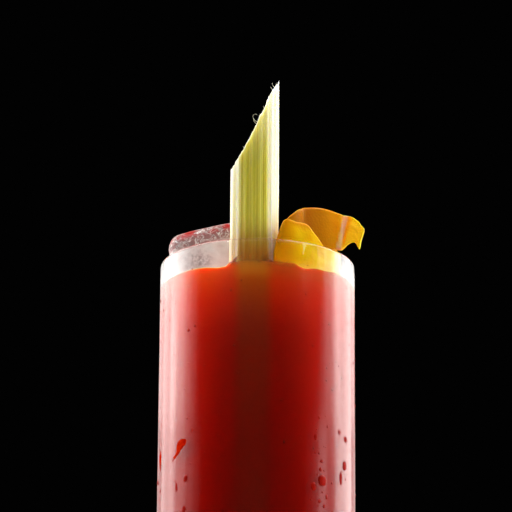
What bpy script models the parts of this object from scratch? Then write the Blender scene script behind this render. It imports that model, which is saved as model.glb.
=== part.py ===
"""A bloody mary: tomato drink in a highball glass, with a celery stick, an ice cube and a curl of lemon peel.

Metres, +Z up. The origin is the middle of the glass's underside, and -Y faces the viewer.
"""

import math

import bmesh
import bpy
import numpy as np
from mathutils import Matrix, noise

# The glass: a straight-sided highball that widens a little towards its rim.
GLASS_HEIGHT = 0.156
RIM_RADIUS = 0.033
BASE_RADIUS = 0.0309
WALL = 0.002
BASE_THICKNESS = 0.012
FOOT_ROUND = 0.003
FLOOR_ROUND = 0.006
TURNED_STEPS = 72

# The drink stands this far below the rim, and pieces that touch keep the gap.
DRINK_BELOW_RIM = 0.0081
GAP = 0.0003
DRINK_LEVEL = GLASS_HEIGHT - DRINK_BELOW_RIM
CUT_PAST = 0.002
FLOOR_LEVEL = BASE_THICKNESS

# The celery leans on the near side of the rim, its ribbed back to the viewer.
CELERY_RADIUS = 0.00915
CELERY_HALF_ANGLE = math.radians(66)
CELERY_YAW = math.radians(18)
CELERY_MIDDLE_X = -0.0022
CELERY_NEAREST_Y = -0.0302
CELERY_LEAN = math.radians(10)
CELERY_THICKNESS = 0.0042
CELERY_EDGE_THICKNESS = 0.0021
CELERY_FULLNESS = 2.5
CELERY_RIBS = 9
CELERY_RIB_DEPTH = 0.0003
CELERY_WIDENING = 1.25
CELERY_COLUMNS = 54
CELERY_ROWS = 8
# The slanting cut: how high the stick ends at each distance across it, with the steps a knife left.
CELERY_CUT = (
    (-0.0095, 0.1785),
    (-0.0084, 0.1803),
    (-0.0053, 0.1847),
    (-0.0026, 0.1897),
    (-0.0007, 0.1935),
    (-0.0003, 0.1950),
    (0.0010, 0.1977),
    (0.0025, 0.2005),
    (0.0027, 0.2020),
    (0.0033, 0.2034),
    (0.0048, 0.2068),
    (0.0062, 0.2095),
)

# The ice cube: its size, the place of its middle, and how it is turned and tipped.
ICE_SIZE = (0.026, 0.020, 0.026)
ICE_MIDDLE = (-0.0151, 0.0, 0.1558)
ICE_YAW = math.radians(-15)
ICE_TIP = math.radians(-9)
ICE_EDGE_ROUND = 0.0053
ICE_ROUND_STEPS = 4
ICE_FLAT_CUTS = 3
ICE_LONGEST_EDGE = 0.008
ICE_UNEVENNESS = 0.0003
ICE_UNEVEN_SCALE = 90.0

# The lemon peel: stations along its zest face, from the end in front, round the fold at the left, to the torn
# flap that reaches over the rim. Each one is x, y, bottom edge, top edge and thickness, in millimetres.
PEEL_STATIONS = (
    (26.6, -13.9, 145.0, 158.4, 1.3),
    (24.0, -17.6, 144.6, 157.4, 1.7),
    (21.9, -20.1, 144.4, 157.6, 1.8),
    (20.1, -21.9, 144.3, 159.7, 1.8),
    (18.2, -23.5, 144.3, 161.6, 1.8),
    (16.5, -24.7, 144.3, 163.5, 1.8),
    (14.2, -26.1, 144.4, 163.8, 1.8),
    (12.0, -27.3, 144.6, 163.6, 1.8),
    (9.7, -28.3, 144.9, 163.8, 1.7),
    (7.3, -29.1, 145.2, 163.9, 1.4),
    (5.7, -28.4, 145.5, 164.0, 1.3),
    (5.0, -26.8, 145.8, 164.2, 1.3),
    (5.7, -25.3, 146.0, 164.9, 1.3),
    (7.3, -24.6, 146.2, 166.8, 1.4),
    (9.7, -22.5, 146.5, 169.1, 1.8),
    (12.5, -19.6, 147.3, 170.4, 1.9),
    (15.5, -17.4, 148.8, 171.6, 1.9),
    (19.0, -15.4, 151.2, 172.3, 1.9),
    (22.0, -14.0, 155.2, 172.3, 1.9),
    (25.0, -12.7, 158.4, 171.8, 1.9),
    (27.6, -12.2, 158.3, 171.2, 1.9),
    (28.9, -12.3, 159.2, 170.9, 0.9),
    (30.3, -12.7, 160.5, 170.6, 0.8),
    (31.9, -13.3, 161.1, 169.9, 0.8),
    (33.0, -13.8, 160.2, 168.9, 0.8),
    (33.9, -14.3, 158.4, 168.0, 0.8),
    (34.5, -14.6, 161.0, 166.9, 0.8),
    (35.5, -15.2, 164.1, 165.4, 0.6),
)
PEEL_COLUMNS = 62
PEEL_ROWS = 8
# The fold leans to the right as it rises, the more the higher, and less away from its middle.
PEEL_FOLD_X = 0.005
PEEL_FOLD_FADE = 0.009
PEEL_FOLD_FROM_Z = 0.152
PEEL_FOLD_SLANT = 0.09
PEEL_FOLD_CURVE = 15.5
MILLIMETRE = 0.001

WELD = 1e-6
SMOOTH_UNDER = math.radians(40)


def clear_scene():
    for thing in list(bpy.data.objects):
        bpy.data.objects.remove(thing)


def make_material(name, colour, roughness, transmission=0.0, ior=1.45):
    material = bpy.data.materials.new(name)
    material.use_nodes = True
    shader = material.node_tree.nodes["Principled BSDF"]
    shader.inputs["Base Color"].default_value = (*colour, 1.0)
    shader.inputs["Roughness"].default_value = roughness
    shader.inputs["Metallic"].default_value = 0.0
    shader.inputs["Transmission Weight"].default_value = transmission
    shader.inputs["IOR"].default_value = ior
    return material


def add_object(name, bm, material=None):
    """Turn a finished bmesh into an object; one without a material is a cutter and stays out of the model."""
    bmesh.ops.recalc_face_normals(bm, faces=bm.faces)
    mesh = bpy.data.meshes.new(name)
    bm.to_mesh(mesh)
    bm.free()
    mesh.shade_smooth()
    mesh.set_sharp_from_angle(angle=SMOOTH_UNDER)
    thing = bpy.data.objects.new(name, mesh)
    bpy.context.scene.collection.objects.link(thing)
    if material is None:
        thing.hide_render = True
        thing.display_type = "WIRE"
    else:
        mesh.materials.append(material)
    return thing


def arc(centre, radius, start, end, steps):
    """Points on an arc in the radius-height plane, its angles in degrees from the radius direction."""
    angles = np.radians(np.linspace(start, end, steps + 1))
    return [(centre[0] + radius * math.cos(a), centre[1] + radius * math.sin(a)) for a in angles]


def outer_radius(height):
    return BASE_RADIUS + (RIM_RADIUS - BASE_RADIUS) * height / GLASS_HEIGHT


def inner_radius(height):
    return outer_radius(height) - WALL


def turned(profile):
    """A closed bmesh from a profile that starts and ends on the axis, spun once round it."""
    bm = bmesh.new()
    points = [bm.verts.new((radius, 0.0, height)) for radius, height in profile]
    lines = [bm.edges.new(pair) for pair in zip(points, points[1:])]
    bmesh.ops.spin(
        bm, geom=points + lines, cent=(0, 0, 0), axis=(0, 0, 1), angle=2 * math.pi, steps=TURNED_STEPS
    )
    bmesh.ops.remove_doubles(bm, verts=bm.verts, dist=WELD)
    return bm


def glass_profile():
    lip = WALL / 2
    foot = outer_radius(FOOT_ROUND) - FOOT_ROUND
    lip_middle = RIM_RADIUS - lip
    corner_height = FLOOR_LEVEL + FLOOR_ROUND
    corner = inner_radius(corner_height) - FLOOR_ROUND
    return (
        [(0.0, 0.0)]
        + arc((foot, FOOT_ROUND), FOOT_ROUND, -90, 0, 4)
        + arc((lip_middle, GLASS_HEIGHT - lip), lip, 0, 180, 6)
        + arc((corner, corner_height), FLOOR_ROUND, 0, -90, 5)
        + [(0.0, FLOOR_LEVEL)]
    )


def drink_profile():
    corner_height = FLOOR_LEVEL + FLOOR_ROUND
    corner = inner_radius(corner_height) - FLOOR_ROUND
    return (
        [(0.0, FLOOR_LEVEL + GAP)]
        + arc((corner, corner_height), FLOOR_ROUND - GAP, -90, 0, 5)
        + [(inner_radius(DRINK_LEVEL) - GAP, DRINK_LEVEL), (0.0, DRINK_LEVEL)]
    )


def sheet(front, back):
    """A closed bmesh between two grids of points: both faces, and a strip round their four edges."""
    bm = bmesh.new()
    near = [[bm.verts.new(point) for point in line] for line in front]
    far = [[bm.verts.new(point) for point in line] for line in back]
    lines = len(near)
    across = len(near[0])
    for i in range(lines - 1):
        for j in range(across - 1):
            for grid, step in ((near, 1), (far, -1)):
                corners = (grid[i][j], grid[i][j + 1], grid[i + 1][j + 1], grid[i + 1][j])
                bm.faces.new(corners[::step])
    border = [(i, 0) for i in range(lines)]
    border += [(lines - 1, j) for j in range(1, across)]
    border += [(i, across - 1) for i in range(lines - 2, -1, -1)]
    border += [(0, j) for j in range(across - 2, 0, -1)]
    for (i, j), (k, m) in zip(border, border[1:] + border[:1]):
        bm.faces.new((near[i][j], near[k][m], far[k][m], far[i][j]))
    return bm


def celery_point(across, depth, height, grow):
    """A point of the stick: across runs 0 to 1 over its arc, and depth is 0 on the ribbed face, 1 in the hollow."""
    angle = (2 * across - 1) * (CELERY_HALF_ANGLE + grow / CELERY_RADIUS)
    rib = 0.5 - 0.5 * math.cos(2 * math.pi * CELERY_RIBS * across)
    middle = 1 - abs(2 * across - 1) ** CELERY_FULLNESS
    thickness = CELERY_EDGE_THICKNESS + (CELERY_THICKNESS - CELERY_EDGE_THICKNESS) * middle
    outer = CELERY_RADIUS + grow
    if grow == 0.0:
        outer -= CELERY_RIB_DEPTH * (1 - rib)
    radius = outer if depth == 0 else CELERY_RADIUS - thickness - grow
    down = (GLASS_HEIGHT - height) / GLASS_HEIGHT
    widening = 1 + (CELERY_WIDENING - 1) * max(down, 0.0)
    turn = angle + CELERY_YAW
    nearest = CELERY_NEAREST_Y + math.tan(CELERY_LEAN) * (GLASS_HEIGHT - height)
    x = CELERY_MIDDLE_X + widening * radius * math.sin(turn)
    y = nearest + widening * (CELERY_RADIUS - radius * math.cos(turn))
    return x, y, height


def celery_top(x):
    places, heights = zip(*CELERY_CUT)
    return float(np.interp(x, places, heights))


def celery(grow=0.0, top=None):
    """The stick, cut slantwise, or, with a top, a plain straight stretch of it up to there."""
    foot = FLOOR_LEVEL + GAP - grow
    rows = CELERY_ROWS if top is None else 1
    faces = []
    for depth in (0, 1):
        lines = []
        for across in np.linspace(0, 1, CELERY_COLUMNS + 1):
            end = top
            if top is None:
                end = celery_top(celery_point(across, depth, GLASS_HEIGHT, grow)[0])
            heights = np.linspace(foot, end, rows + 1)
            lines.append([celery_point(across, depth, height, grow) for height in heights])
        faces.append(lines)
    return sheet(*faces)


def ice(grow=0.0):
    """A rounded block, melted a little unevenly."""
    bm = bmesh.new()
    bmesh.ops.create_cube(bm, size=1.0)
    bmesh.ops.scale(bm, vec=[side + 2 * grow for side in ICE_SIZE], verts=bm.verts)
    bmesh.ops.bevel(
        bm, geom=list(bm.edges), offset=ICE_EDGE_ROUND + grow, segments=ICE_ROUND_STEPS, profile=0.5,
        affect="EDGES", clamp_overlap=True
    )
    long_edges = [edge for edge in bm.edges if edge.calc_length() > ICE_LONGEST_EDGE]
    bmesh.ops.subdivide_edges(bm, edges=long_edges, cuts=ICE_FLAT_CUTS, use_grid_fill=True)
    bmesh.ops.triangulate(bm, faces=bm.faces)
    for vert in bm.verts:
        wave = noise.noise(vert.co * ICE_UNEVEN_SCALE)
        vert.co += vert.co.normalized() * wave * ICE_UNEVENNESS
    turn = Matrix.Rotation(ICE_YAW, 4, "Z") @ Matrix.Rotation(ICE_TIP, 4, "Y")
    bmesh.ops.transform(bm, matrix=Matrix.Translation(ICE_MIDDLE) @ turn, verts=bm.verts)
    return bm


def through(stations, position):
    """A smooth curve through the stations, at a position counted in stations."""
    last = len(stations) - 1
    start = min(int(position), last - 1)
    t = position - start
    before = stations[max(start - 1, 0)]
    here = stations[start]
    there = stations[start + 1]
    after = stations[min(start + 2, last)]
    turn = (there - before) * 0.5
    turn_after = (after - here) * 0.5
    return (
        here * (2 * t ** 3 - 3 * t ** 2 + 1)
        + turn * (t ** 3 - 2 * t ** 2 + t)
        + there * (3 * t ** 2 - 2 * t ** 3)
        + turn_after * (t ** 3 - t ** 2)
    )


def peel(grow=0.0):
    """The curl: a sheet whose zest face follows the stations, with the pith inside the fold."""
    stations = np.array(PEEL_STATIONS) * MILLIMETRE
    positions = np.linspace(0, len(stations) - 1, PEEL_COLUMNS + 1)
    line = np.array([through(stations, position) for position in positions])
    along = np.gradient(line[:, :2], axis=0)
    along /= np.linalg.norm(along, axis=1)[:, None]
    inward = np.stack([along[:, 1], -along[:, 0]], axis=1)
    line[0, :2] -= along[0] * grow
    line[-1, :2] += along[-1] * grow
    zest = []
    pith = []
    for (x, y, bottom, top, thickness), normal in zip(line, inward):
        fold = min(1.0, max(0.0, 1 - (x - PEEL_FOLD_X) / PEEL_FOLD_FADE))
        outer = []
        inner = []
        for height in np.linspace(bottom - grow, top + grow, PEEL_ROWS + 1):
            rise = max(0.0, height - PEEL_FOLD_FROM_Z)
            slant = fold * (PEEL_FOLD_SLANT * rise + PEEL_FOLD_CURVE * rise ** 2)
            outer.append((x - normal[0] * grow + slant, y - normal[1] * grow, height))
            depth = thickness + grow
            inner.append((x + normal[0] * depth + slant, y + normal[1] * depth, height))
        zest.append(outer)
        pith.append(inner)
    return sheet(zest, pith)


def cut(target, cutter):
    modifier = target.modifiers.new("Cut round " + cutter.name, "BOOLEAN")
    modifier.operation = "DIFFERENCE"
    modifier.solver = "EXACT"
    modifier.object = cutter


clear_scene()
add_object("glass", turned(glass_profile()), make_material("Clear glass", (1.0, 1.0, 1.0), 0.02, 1.0, 1.5))
add_object("celery_stick", celery(), make_material("Celery", (0.42, 0.45, 0.12), 0.4))
add_object("ice_cube", ice(), make_material("Ice", (0.9, 0.85, 0.85), 0.08, 0.9, 1.31))
add_object("lemon_peel", peel(), make_material("Lemon peel", (0.95, 0.5, 0.02), 0.4))
drink = add_object("drink", turned(drink_profile()), make_material("Tomato drink", (0.42, 0.02, 0.006), 0.25))
cut(drink, add_object("celery_room", celery(GAP, DRINK_LEVEL + CUT_PAST)))
cut(drink, add_object("ice_room", ice(GAP)))
cut(drink, add_object("peel_room", peel(GAP)))
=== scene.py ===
"""A bloody mary in a misted highball glass, with a celery stick, an ice cube and a curl of lemon peel.

Metres, +Z up. The origin is the middle of the glass's underside, and -Y faces the viewer.
"""

import math
import random

import bpy
import numpy as np
from mathutils import Matrix, Vector, noise


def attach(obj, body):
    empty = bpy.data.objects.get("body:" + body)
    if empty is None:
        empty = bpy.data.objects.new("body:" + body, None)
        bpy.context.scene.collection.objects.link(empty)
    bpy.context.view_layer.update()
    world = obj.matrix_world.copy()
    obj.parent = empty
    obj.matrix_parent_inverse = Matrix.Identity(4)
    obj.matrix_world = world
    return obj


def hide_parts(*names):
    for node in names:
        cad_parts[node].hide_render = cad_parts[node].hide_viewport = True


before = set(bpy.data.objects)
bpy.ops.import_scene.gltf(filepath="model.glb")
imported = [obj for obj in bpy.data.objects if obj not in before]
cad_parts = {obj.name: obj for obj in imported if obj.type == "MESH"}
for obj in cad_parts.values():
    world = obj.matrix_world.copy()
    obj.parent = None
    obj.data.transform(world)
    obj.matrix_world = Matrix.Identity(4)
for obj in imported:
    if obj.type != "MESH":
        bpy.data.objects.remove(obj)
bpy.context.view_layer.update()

FULL_TURN = 2 * math.pi
MILLIMETRE = 0.001
WELD = 1e-6
BODY = "root"

# The glass, as its solid has it.
GLASS_HEIGHT = 0.156
RIM_RADIUS = 0.033
BASE_RADIUS = 0.0309
GLASS_TAPER = (RIM_RADIUS - BASE_RADIUS) / GLASS_HEIGHT
WALL = 0.002
FLOOR_LEVEL = 0.012
FOOT_ROUND = 0.003
FLOOR_ROUND = 0.006
GLASS_SIDES = 192
LIP_ROUND = 0.00094
LIP_STEPS = 6
FOOT_STEPS = 8
PUNT_DEPTH = 0.0006
PUNT_MARGIN = 0.006

# The drink reaches a little into the wall, so that no air shows between them.
DRINK_LEVEL = GLASS_HEIGHT - 0.0081
INTO_WALL = 0.00008
MENISCUS = 0.0008
MENISCUS_FADE = 0.0011
SURFACE_RINGS = (0.0003,) * 10 + (0.0008,) * 34
# How high the drink climbs the wall in front, most of all before the celery: across and up, in millimetres.
CLIMB = (
    (-19.0, 0.0), (-16.5, -0.3), (-12.3, -1.0), (-9.9, -0.8), (-8.3, 1.0), (-7.6, 2.6), (-6.2, 3.9),
    (-4.6, 4.6), (-3.4, 6.0), (1.6, 5.5), (2.7, 4.0), (4.1, 1.8), (5.8, 1.4), (8.5, 2.0), (10.9, 1.3),
    (12.6, 0.0), (15.0, -0.7), (17.7, 0.0), (21.1, 0.0), (24.5, 0.7), (27.5, 1.2), (30.0, 0.0),
)
CLIMB_FULL = 0.0016
CLIMB_GONE = 0.0042

# The celery, as its solid has it, with finer ribs.
CELERY_RADIUS = 0.00915
CELERY_HALF_ANGLE = math.radians(66)
CELERY_YAW = math.radians(18)
CELERY_MIDDLE_X = -0.0022
CELERY_SEEN_X = CELERY_MIDDLE_X + 0.0008
CELERY_NEAREST_Y = -0.0302
CELERY_LEAN = math.radians(10)
CELERY_THICKNESS = 0.0042
CELERY_EDGE_THICKNESS = 0.0021
CELERY_FULLNESS = 2.5
CELERY_RIBS = 9
CELERY_RIB_DEPTH = 0.0003
CELERY_WIDENING = 1.25
CELERY_CUT = (
    (-0.0095, 0.1785), (-0.0084, 0.1803), (-0.0053, 0.1847), (-0.0026, 0.1897), (-0.0007, 0.1935),
    (-0.0003, 0.1950), (0.0010, 0.1977), (0.0025, 0.2005), (0.0027, 0.2020), (0.0033, 0.2034),
    (0.0048, 0.2067), (0.0060, 0.2090), (0.0072, 0.2128),
)
CELERY_FACE_STEPS = 110
CELERY_EDGE_STEPS = 8
CELERY_CAP_ROWS = 5
CELERY_ROWS = 150
CELERY_ROWS_CROWD = 1.6
CELERY_CUT_PALE = 0.0009
CELERY_FRAY = 0.0004
CELERY_FOOT_GAP = 0.0004
CELERY_WAVER = 0.00012

# The ice cube.
ICE_SIZE = (0.026, 0.020, 0.026)
ICE_MIDDLE = (-0.0151, 0.0, 0.1558)
ICE_YAW = math.radians(-15)
ICE_TIP = math.radians(-9)
ICE_EDGE_ROUND = 0.0053
ICE_EDGE_STEPS = 5
ICE_CUTS = 3

# The lemon peel: stations along its zest face, from the end in front, round the fold at the left, to the torn
# flap that reaches over the rim. Each one is x, y, bottom edge, top edge and thickness, in millimetres.
PEEL_STATIONS = (
    (26.6, -13.9, 145.0, 158.4, 1.3),
    (24.0, -17.6, 144.6, 157.4, 1.7),
    (21.9, -20.1, 144.4, 157.6, 1.8),
    (20.1, -21.9, 144.3, 159.7, 1.8),
    (18.2, -23.5, 144.3, 161.6, 1.8),
    (16.5, -24.7, 144.3, 163.5, 1.8),
    (14.2, -26.1, 144.4, 163.8, 1.8),
    (12.0, -27.3, 144.6, 163.6, 1.8),
    (9.7, -28.3, 144.9, 163.8, 1.7),
    (7.3, -29.1, 145.2, 163.9, 1.4),
    (5.7, -28.4, 145.5, 164.0, 1.3),
    (5.0, -26.8, 145.8, 164.2, 1.3),
    (5.7, -25.3, 146.0, 164.9, 1.3),
    (7.3, -24.6, 146.2, 166.8, 1.4),
    (9.7, -22.5, 146.5, 169.1, 1.8),
    (12.5, -19.6, 147.3, 170.4, 1.9),
    (15.5, -17.4, 148.8, 171.6, 1.9),
    (19.0, -15.4, 151.2, 172.3, 1.9),
    (22.0, -14.0, 155.2, 172.3, 1.9),
    (25.0, -12.7, 158.4, 171.8, 1.9),
    (27.6, -12.2, 158.3, 171.2, 1.9),
    (28.9, -12.3, 159.2, 170.9, 0.9),
    (30.3, -12.7, 160.5, 170.6, 0.8),
    (31.9, -13.3, 161.1, 169.9, 0.8),
    (33.0, -13.8, 160.2, 168.9, 0.8),
    (33.9, -14.3, 158.4, 168.0, 0.8),
    (34.5, -14.6, 161.0, 166.9, 0.8),
    (35.5, -15.2, 164.1, 165.4, 0.6),
)
PEEL_FOLD_X = 0.005
PEEL_FOLD_FADE = 0.009
PEEL_FOLD_FROM_Z = 0.152
PEEL_FOLD_SLANT = 0.09
PEEL_FOLD_CURVE = 15.5
PEEL_PITH_X = 0.0264
PEEL_PITH_FROM_Z = 0.158
PEEL_PITH_SLANT = 0.26
PEEL_PITH_HALF = 0.0006
PEEL_LENGTH_STEPS = 260
PEEL_FACE_STEPS = 44
PEEL_EDGE_STEPS = 6
PEEL_CAP_ROWS = 4
PEEL_WAVER = 0.00018

# Drops on the outside: azimuth from the viewer's side towards +X in degrees, then height, half width and half
# height in millimetres.
LARGE_BEADS = (
    (39.3, 80.1, 1.70, 1.80),
    (33.2, 78.0, 1.00, 1.30),
    (34.8, 93.3, 0.70, 1.10),
    (43.4, 97.1, 0.50, 0.60),
    (37.2, 99.5, 0.38, 0.52),
    (38.9, 86.0, 0.72, 0.50),
    (38.0, 83.5, 0.56, 0.72),
    (36.9, 88.4, 0.45, 0.43),
    (34.1, 88.4, 0.42, 0.37),
    (40.6, 90.7, 0.30, 0.36),
    (40.5, 83.2, 0.30, 0.30),
    (35.9, 81.8, 0.36, 0.37),
    (39.4, 76.6, 0.38, 0.37),
    (42.4, 75.4, 0.50, 0.72),
    (37.2, 73.7, 0.55, 0.57),
    (40.5, 72.4, 0.58, 0.57),
    (53.9, 96.1, 0.75, 0.90),
    (61.0, 94.5, 0.95, 1.05),
    (55.4, 81.9, 0.80, 2.20),
    (59.8, 86.1, 1.30, 1.50),
    (47.1, 79.8, 0.45, 0.45),
    (-43.0, 80.7, 0.92, 1.15),
    (-50.8, 78.5, 0.60, 1.45),
    (-44.1, 71.4, 0.95, 1.00),
    (-42.0, 99.4, 0.38, 0.45),
    (-39.2, 85.1, 0.28, 0.30),
    (-38.6, 95.4, 0.36, 0.88),
    (-79.0, 81.9, 0.90, 0.75),
)
BEAD_COUNT = 900
BEAD_HEIGHTS = (0.012, 0.149)
BEAD_SEED = 11
BEADS_KEEP_FROM_FRONT = 24
BEAD_RADII = (0.10, 0.22)
BEAD_STRETCH = (0.8, 1.5)
BEAD_WAVER = 0.00006
# Specks of pepper against the wall: azimuth and height of those in view, and how many more lie all round.
PEPPER_SEEN = ((0.9, 148.2), (-9.3, 142.2), (-15.4, 139.2), (-34.8, 140.9), (-39.9, 111.7), (-31.8, 115.7),
               (-11.0, 112.5), (-22.1, 93.2))
PEPPER_COUNT = 130
PEPPER_SEED = 5
PEPPER_HEIGHTS = (20, 144)
PEPPER_WIDTHS = (0.16, 0.30)
PEPPER_STRETCH = (0.8, 2.2)
PEPPER_THICKNESS = 0.2
PEPPER_WAVER = 0.00008
# Juice that ran down the outside: each row is the left edge and the right edge, as azimuth and height.
SMEARS = (
    ((-49.1, 93.3, -41.7, 93.2), (-50.8, 91.7, -42.6, 91.6), (-51.2, 90.2, -45.5, 90.5),
     (-51.9, 89.0, -47.5, 89.4), (-54.2, 87.7, -50.3, 88.1), (-56.5, 86.1, -55.5, 86.6)),
    ((-74.0, 91.5, -72.0, 91.3), (-75.5, 89.5, -70.5, 89.3), (-75.0, 87.5, -71.0, 87.3),
     (-73.0, 85.0, -72.0, 85.0)),
)
SMEAR_THICKNESS = 0.00014
SMEAR_SIDES = 12
SMEAR_BANDS = 30
# Loose fibres at the celery's cut: where each starts across the stick, its radius, and the places it bends
# through from there, in millimetres.
STRANDS = (
    (0.97, 0.09, ((-0.3, -0.1, 1.0), (-0.9, -0.3, 2.0), (-1.1, -0.3, 3.0))),
    (0.99, 0.08, ((0.1, -0.1, 0.9), (0.2, -0.3, 1.8), (0.0, -0.4, 2.6))),
    (0.93, 0.07, ((-0.5, -0.1, 0.7), (-0.9, -0.3, 1.1), (-1.4, -0.4, 1.9))),
    (0.49, 0.09, ((-0.9, -0.2, 0.4), (-1.6, -0.4, 1.3), (-1.5, -0.5, 2.3), (-0.7, -0.5, 2.6),
                  (-0.2, -0.4, 2.1))),
    (0.48, 0.07, ((-0.7, -0.2, 0.1), (-1.2, -0.4, 0.8), (-1.0, -0.5, 1.5))),
    (0.66, 0.07, ((-0.4, -0.1, 0.5), (-0.8, -0.3, 1.4))),
    (0.24, 0.07, ((-0.4, -0.1, 0.4), (-0.9, -0.3, 1.1))),
)
# Crinkled ridges across the front of the ice, near-white as painted highlights: places across and up, in
# millimetres.
ICE_RIDGES = (
    ((-23.4, 163.6), (-21.6, 164.9), (-19.6, 165.5), (-17.8, 165.8), (-16.2, 165.2), (-14.4, 166.2),
     (-12.2, 167.2), (-10.0, 167.6)),
    ((-16.2, 165.2), (-15.5, 166.8), (-13.8, 167.2), (-11.6, 166.4), (-9.2, 167.1)),
    ((-25.6, 161.4), (-24.0, 162.9), (-21.8, 163.5), (-19.0, 164.2)),
    ((-20.4, 165.8), (-18.2, 166.4), (-16.8, 165.9), (-15.2, 166.8)),
    ((-14.0, 165.6), (-12.9, 164.4), (-10.9, 164.9), (-9.4, 164.0)),
)
ICE_RIDGE_RADIUS = 0.15
THREAD_SIDES = 6
THREAD_BANDS = 24

# The camera stands low, close to the table, and looks up at the glass.
CAMERA_PLACE = (0.0, -0.44, 0.016)
CAMERA_LOOKS_UP = math.radians(18.19)
CAMERA_ROLL = math.radians(0.37)
PHOTO_SIDE = 512
CAMERA_FOCUS_PIXELS = 1352
CAMERA_SHIFT_PIXELS = -1.74
SENSOR = 36.0

# The studio: panels stand round the glass at this distance, and the lamps above face this point.
PANEL_DISTANCE = 0.85
LIGHTS_AIM = (0.0, 0.0, 0.14)
# Azimuths from the camera's side towards +X, in degrees, lowest and highest point, and radiance.
PANELS = (
    (-74, -82, 0.27, 0.90, 0.7),
    (-82, -91, 0.27, 0.90, 1.9),
    (-91, -97, 0.27, 0.90, 3.7),
    (-97, -107, 0.27, 0.42, 4.3),
    (-107, -120, 0.27, 0.42, 7.6),
    (-97, -107, 0.42, 0.90, 5.5),
    (-107, -120, 0.42, 0.90, 5.0),
    (-120, -141, 0.27, 0.90, 3.4),
    (-141, -160, 0.27, 0.90, 1.4),
    (-160, -174, 0.27, 0.90, 0.8),
    (-68, -76, 0.02, 0.27, 0.3),
    (-76, -87, 0.02, 0.27, 0.8),
    (-87, -107, 0.02, 0.27, 1.8),
    (-107, -120, 0.02, 0.27, 4.2),
    (-120, -141, 0.02, 0.27, 2.6),
    (-141, -174, 0.02, 0.27, 0.6),
    (77, 84, 0.27, 0.42, 0.5),
    (84, 92, 0.27, 0.90, 1.5),
    (92, 97, 0.27, 0.90, 1.7),
    (97, 102, 0.27, 0.90, 3.3),
    (102, 113, 0.27, 0.90, 6.2),
    (113, 141, 0.27, 0.90, 4.0),
    (141, 160, 0.27, 0.90, 1.5),
    (58, 66, 0.02, 0.27, 0.12),
    (66, 74, 0.02, 0.27, 0.35),
    (74, 87, 0.02, 0.27, 2.2),
    (87, 97, 0.02, 0.27, 0.5),
    (97, 102, 0.02, 0.27, 0.9),
    (102, 113, 0.02, 0.27, 4.4),
    (113, 141, 0.02, 0.27, 4.0),
    (141, 170, 0.02, 0.27, 0.6),
)
PANEL_COLOUR = (1.0, 0.97, 0.94)
# Azimuth, elevation, distance, width and height, and radiance.
LAMPS_ABOVE = (
    ("Left shoulder", -80, 52, 0.5, (0.3, 0.3), 5.4),
    ("Right shoulder", 80, 52, 0.6, (0.6, 0.6), 3.0),
    ("Front top", 0, 72, 0.9, (0.7, 0.5), 0.4),
)
# Two narrow spots from the front, one on the celery and one on the peel: azimuth, elevation, where each aims,
# its cone in degrees and its power in watts.
SPOTS = (
    ("Left spot", -40, 35, (-0.001, -0.014, 0.188), 6.6, 13.0),
    ("Right spot", 40, 35, (0.015, -0.018, 0.170), 4.6, 7.0),
)
SPOT_DISTANCE = 0.7
SPOT_SOFT_EDGE = 0.5
SPOT_RADIUS = 0.09
BACKDROP = (0.0006, 0.0006, 0.0006)
FLOOR_SIZE = 3.0
FLOOR_GAP = 0.0002


class Wire:
    """A value inside a material. Arithmetic on it adds the Math nodes that do the same."""

    def __init__(self, finish, socket):
        self.finish = finish
        self.socket = socket

    def _math(self, operation, *values):
        return self.finish.node("ShaderNodeMath", {"operation": operation}, dict(enumerate(values)))

    def __add__(self, other):
        return self._math("ADD", self, other)

    def __radd__(self, other):
        return self._math("ADD", other, self)

    def __sub__(self, other):
        return self._math("SUBTRACT", self, other)

    def __rsub__(self, other):
        return self._math("SUBTRACT", other, self)

    def __mul__(self, other):
        return self._math("MULTIPLY", self, other)

    def __rmul__(self, other):
        return self._math("MULTIPLY", other, self)

    def __truediv__(self, other):
        return self._math("DIVIDE", self, other)

    def __pow__(self, other):
        return self._math("POWER", self, other)

    def __abs__(self):
        return self._math("ABSOLUTE", self)

    def most(self, other):
        return self._math("MAXIMUM", self, other)

    def rise(self, low, high):
        """0 up to low, 1 from high on, and a smooth step between them; low may be the larger."""
        return self.finish.node(
            "ShaderNodeMapRange",
            {"interpolation_type": "SMOOTHSTEP"},
            {"Value": self, "From Min": low, "From Max": high},
        )


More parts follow.
